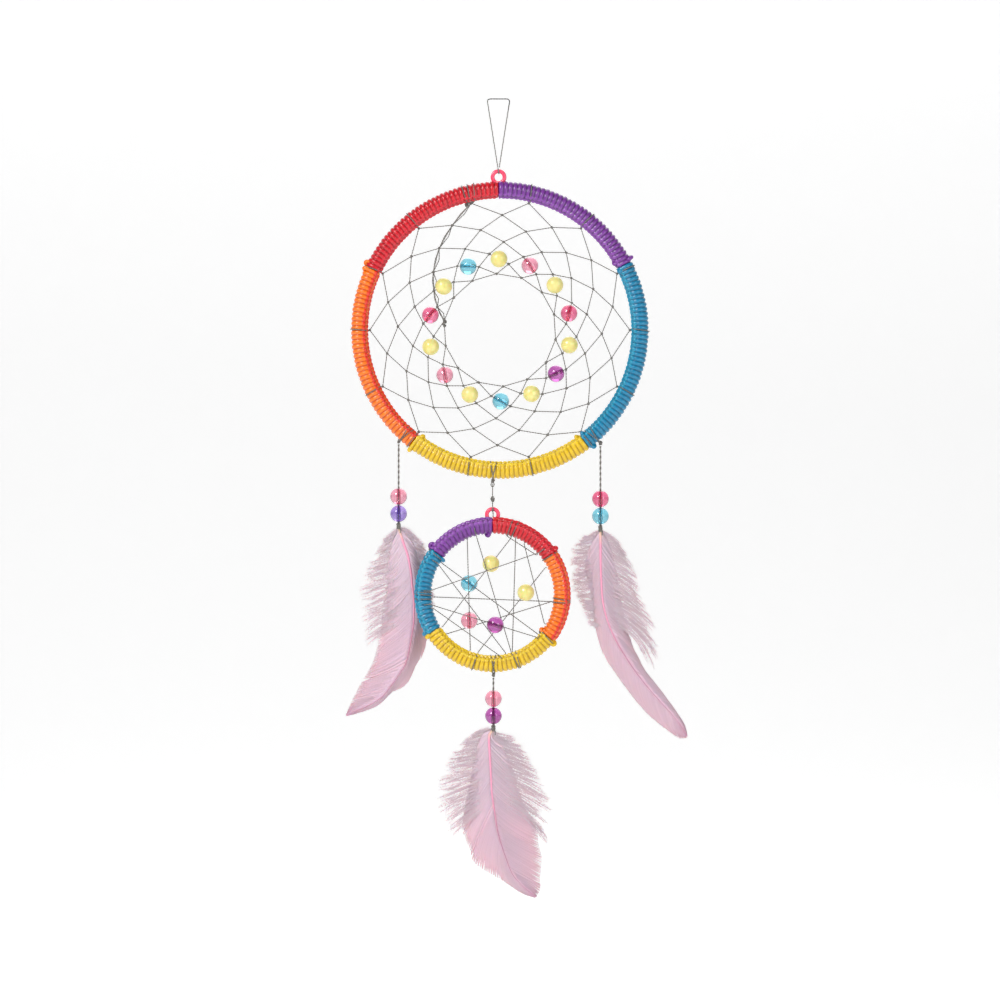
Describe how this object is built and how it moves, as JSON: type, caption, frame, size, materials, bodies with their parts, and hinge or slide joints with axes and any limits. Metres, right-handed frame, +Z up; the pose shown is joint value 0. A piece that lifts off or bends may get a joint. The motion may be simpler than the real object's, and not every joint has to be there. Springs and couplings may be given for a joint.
{
  "type": "dream catcher",
  "caption": "Dream catcher: two satin-wrapped hoops with beaded thread webs, linked one under the other, with beaded feather strands, hung from a thread loop.",
  "frame": {"origin": "middle of the top span of the hanging loop, on the thread's centre line", "axes": "+Z up, +X to the right seen from the front, the front faces -Y"},
  "size_m": [0.1602, 0.0226, 0.3759],
  "materials": {
    "ring_plastic": "gloss",
    "satin_purple": "satin",
    "satin_red": "satin",
    "satin_orange": "satin",
    "satin_yellow": "satin",
    "satin_blue": "satin",
    "metallic_thread": "metallic",
    "bead_yellow": "gloss",
    "bead_pink": "gloss",
    "bead_rose": "gloss",
    "bead_purple": "gloss",
    "bead_violet": "gloss",
    "bead_aqua": "gloss",
    "feather_quill": "matte",
    "feather_vane": "soft"
  },
  "bodies": {
    "hanger": {"hanging_loop": "metallic_thread"},
    "loop_hitch": {"loop_hitch": "metallic_thread"},
    "large_hoop": {"large_ring": "ring_plastic", "large_wrap_purple": "satin_purple", "large_wrap_red": "satin_red", "large_wrap_orange": "satin_orange", "large_wrap_yellow": "satin_yellow", "large_wrap_blue": "satin_blue", "large_web": "metallic_thread", "large_web_hitches": "metallic_thread", "large_ties": "metallic_thread"},
    "web_bead_01": {"web_bead_01": "bead_pink"},
    "web_bead_02": {"web_bead_02": "bead_yellow"},
    "web_bead_03": {"web_bead_03": "bead_aqua"},
    "web_bead_04": {"web_bead_04": "bead_yellow"},
    "web_bead_05": {"web_bead_05": "bead_rose"},
    "web_bead_06": {"web_bead_06": "bead_yellow"},
    "web_bead_07": {"web_bead_07": "bead_pink"},
    "web_bead_08": {"web_bead_08": "bead_yellow"},
    "web_bead_09": {"web_bead_09": "bead_aqua"},
    "web_bead_10": {"web_bead_10": "bead_yellow"},
    "web_bead_11": {"web_bead_11": "bead_purple"},
    "web_bead_12": {"web_bead_12": "bead_yellow"},
    "web_bead_13": {"web_bead_13": "bead_rose"},
    "web_bead_14": {"web_bead_14": "bead_yellow"},
    "link": {"link_thread": "metallic_thread"},
    "link_knot": {"link_knot": "metallic_thread"},
    "small_hoop": {"small_ring": "ring_plastic", "small_wrap_purple": "satin_purple", "small_wrap_blue": "satin_blue", "small_wrap_yellow": "satin_yellow", "small_wrap_orange": "satin_orange", "small_wrap_red": "satin_red", "small_web": "metallic_thread", "small_web_hitches": "metallic_thread", "link_bight": "metallic_thread", "tail_tie": "metallic_thread"},
    "small_web_bead_1": {"small_web_bead_1": "bead_yellow"},
    "small_web_bead_2": {"small_web_bead_2": "bead_pink"},
    "small_web_bead_3": {"small_web_bead_3": "bead_yellow"},
    "small_web_bead_4": {"small_web_bead_4": "bead_aqua"},
    "small_web_bead_5": {"small_web_bead_5": "bead_purple"},
    "left_strand": {"left_thread": "metallic_thread"},
    "left_lower_bead": {"left_lower_bead": "bead_violet"},
    "left_upper_bead": {"left_upper_bead": "bead_pink"},
    "left_feather": {"left_knot": "metallic_thread", "left_quill": "feather_quill", "left_vane": "feather_vane"},
    "right_strand": {"right_thread": "metallic_thread"},
    "right_lower_bead": {"right_lower_bead": "bead_aqua"},
    "right_upper_bead": {"right_upper_bead": "bead_rose"},
    "right_feather": {"right_knot": "metallic_thread", "right_quill": "feather_quill", "right_vane": "feather_vane"},
    "tail_strand": {"tail_thread": "metallic_thread"},
    "tail_lower_bead": {"tail_lower_bead": "bead_purple"},
    "tail_upper_bead": {"tail_upper_bead": "bead_pink"},
    "tail_feather": {"tail_knot": "metallic_thread", "tail_quill": "feather_quill", "tail_vane": "feather_vane"}
  },
  "joints": [
    {"name": "hoop_turn", "type": "hinge", "parent": "hanger", "child": "loop_hitch", "pos_m": [0, 0, -0.03395], "axis": [0, 0, 1], "continuous": true},
    {"name": "hoop_swing", "type": "hinge", "parent": "loop_hitch", "child": "large_hoop", "pos_m": [0, 0, -0.03395], "axis": [1, 0, 0], "range_deg": [-60, 60]},
    {"name": "web_bead_01_spin", "type": "hinge", "parent": "large_hoop", "child": "web_bead_01", "pos_m": [0.01474, -0.0003, -0.07836], "axis": [0.5967, 0, -0.8025], "continuous": true},
    {"name": "web_bead_02_spin", "type": "hinge", "parent": "large_hoop", "child": "web_bead_02", "pos_m": [0.0002, -0.0003, -0.07523], "axis": [0.8858, 0, -0.4641], "continuous": true},
    {"name": "web_bead_03_spin", "type": "hinge", "parent": "large_hoop", "child": "web_bead_03", "pos_m": [-0.01425, -0.0003, -0.07872], "axis": [0.9994, 0, -0.0338], "continuous": true},
    {"name": "web_bead_04_spin", "type": "hinge", "parent": "large_hoop", "child": "web_bead_04", "pos_m": [-0.02576, -0.0003, -0.08815], "axis": [0.9151, 0, 0.4032], "continuous": true},
    {"name": "web_bead_05_spin", "type": "hinge", "parent": "large_hoop", "child": "web_bead_05", "pos_m": [-0.03205, -0.0003, -0.10163], "axis": [0.6496, 0, 0.7603], "continuous": true},
    {"name": "web_bead_06_spin", "type": "hinge", "parent": "large_hoop", "child": "web_bead_06", "pos_m": [-0.03186, -0.0003, -0.1165], "axis": [0.2553, 0, 0.9668], "continuous": true},
    {"name": "web_bead_07_spin", "type": "hinge", "parent": "large_hoop", "child": "web_bead_07", "pos_m": [-0.02523, -0.0003, -0.12981], "axis": [-0.1894, 0, 0.9819], "continuous": true},
    {"name": "web_bead_08_spin", "type": "hinge", "parent": "large_hoop", "child": "web_bead_08", "pos_m": [-0.01349, -0.0003, -0.13894], "axis": [-0.5967, 0, 0.8025], "continuous": true},
    {"name": "web_bead_09_spin", "type": "hinge", "parent": "large_hoop", "child": "web_bead_09", "pos_m": [0.00105, -0.0003, -0.14206], "axis": [-0.8858, 0, 0.4641], "continuous": true},
    {"name": "web_bead_10_spin", "type": "hinge", "parent": "large_hoop", "child": "web_bead_10", "pos_m": [0.01551, -0.0003, -0.13857], "axis": [-0.9994, 0, 0.0338], "continuous": true},
    {"name": "web_bead_11_spin", "type": "hinge", "parent": "large_hoop", "child": "web_bead_11", "pos_m": [0.02702, -0.0003, -0.12915], "axis": [-0.9151, 0, -0.4032], "continuous": true},
    {"name": "web_bead_12_spin", "type": "hinge", "parent": "large_hoop", "child": "web_bead_12", "pos_m": [0.0333, -0.0003, -0.11567], "axis": [-0.6496, 0, -0.7603], "continuous": true},
    {"name": "web_bead_13_spin", "type": "hinge", "parent": "large_hoop", "child": "web_bead_13", "pos_m": [0.03311, -0.0003, -0.1008], "axis": [-0.2553, 0, -0.9668], "continuous": true},
    {"name": "web_bead_14_spin", "type": "hinge", "parent": "large_hoop", "child": "web_bead_14", "pos_m": [0.02649, -0.0003, -0.08748], "axis": [0.1894, 0, -0.9819], "continuous": true},
    {"name": "link_swing", "type": "hinge", "parent": "large_hoop", "child": "link", "pos_m": [-0.0028, 0, -0.17989], "axis": [1, 0, 0], "range_deg": [-45, 45]},
    {"name": "small_hoop_swing", "type": "hinge", "parent": "link", "child": "link_knot", "pos_m": [-0.0028, 0, -0.1886], "axis": [1, 0, 0], "range_deg": [-60, 60]},
    {"name": "small_hoop_turn", "type": "hinge", "parent": "link_knot", "child": "small_hoop", "pos_m": [-0.0028, 0, -0.1886], "axis": [0, 0, 1], "continuous": true},
    {"name": "small_web_bead_1_spin", "type": "hinge", "parent": "small_hoop", "child": "small_web_bead_1", "pos_m": [-0.00356, 0.00109, -0.21845], "axis": [-0.61, -0.0454, -0.7911], "continuous": true},
    {"name": "small_web_bead_2_spin", "type": "hinge", "parent": "small_hoop", "child": "small_web_bead_2", "pos_m": [-0.01375, 0.00052, -0.24515], "axis": [0.0271, 0.091, -0.9955], "continuous": true},
    {"name": "small_web_bead_3_spin", "type": "hinge", "parent": "small_hoop", "child": "small_web_bead_3", "pos_m": [0.01283, -0.00007, -0.23197], "axis": [-0.6214, 0.0353, -0.7827], "continuous": true},
    {"name": "small_web_bead_4_spin", "type": "hinge", "parent": "small_hoop", "child": "small_web_bead_4", "pos_m": [-0.01382, 0.0042, -0.22781], "axis": [0.8039, 0, -0.5948], "continuous": true},
    {"name": "small_web_bead_5_spin", "type": "hinge", "parent": "small_hoop", "child": "small_web_bead_5", "pos_m": [-0.00153, -0.00346, -0.24711], "axis": [0.9558, 0.0225, -0.293], "continuous": true},
    {"name": "left_strand_swing", "type": "hinge", "parent": "large_hoop", "child": "left_strand", "pos_m": [-0.047, 0.002, -0.16122], "axis": [1, 0, 0], "range_deg": [-60, 60]},
    {"name": "left_lower_bead_slide", "type": "slide", "parent": "left_strand", "child": "left_lower_bead", "axis": [0, 0, 1], "range_m": [0, 0.0095]},
    {"name": "left_upper_bead_slide", "type": "slide", "parent": "left_lower_bead", "child": "left_upper_bead", "axis": [0, 0, 1], "range_m": [0, 0.0095]},
    {"name": "left_feather_turn", "type": "hinge", "parent": "left_strand", "child": "left_feather", "pos_m": [-0.047, 0.002, -0.20022], "axis": [0, 0, 1], "range_deg": [0, 100]},
    {"name": "right_strand_swing", "type": "hinge", "parent": "large_hoop", "child": "right_strand", "pos_m": [0.0479, 0, -0.16206], "axis": [1, 0, 0], "range_deg": [-60, 60]},
    {"name": "right_lower_bead_slide", "type": "slide", "parent": "right_strand", "child": "right_lower_bead", "axis": [0, 0, 1], "range_m": [0, 0.0095]},
    {"name": "right_upper_bead_slide", "type": "slide", "parent": "right_lower_bead", "child": "right_upper_bead", "axis": [0, 0, 1], "range_m": [0, 0.0095]},
    {"name": "right_feather_turn", "type": "hinge", "parent": "right_strand", "child": "right_feather", "pos_m": [0.0479, 0, -0.20136], "axis": [0, 0, 1], "range_deg": [-100, 100]},
    {"name": "tail_strand_swing", "type": "hinge", "parent": "small_hoop", "child": "tail_strand", "pos_m": [-0.0024, 0, -0.27092], "axis": [1, 0, 0], "range_deg": [-60, 60]},
    {"name": "tail_lower_bead_slide", "type": "slide", "parent": "tail_strand", "child": "tail_lower_bead", "axis": [0, 0, 1], "range_m": [0, 0.0023]},
    {"name": "tail_upper_bead_slide", "type": "slide", "parent": "tail_lower_bead", "child": "tail_upper_bead", "axis": [0, 0, 1], "range_m": [0, 0.0023]},
    {"name": "tail_feather_turn", "type": "hinge", "parent": "tail_strand", "child": "tail_feather", "pos_m": [-0.0024, 0, -0.29522], "axis": [0, 0, 1], "continuous": true}
  ]
}
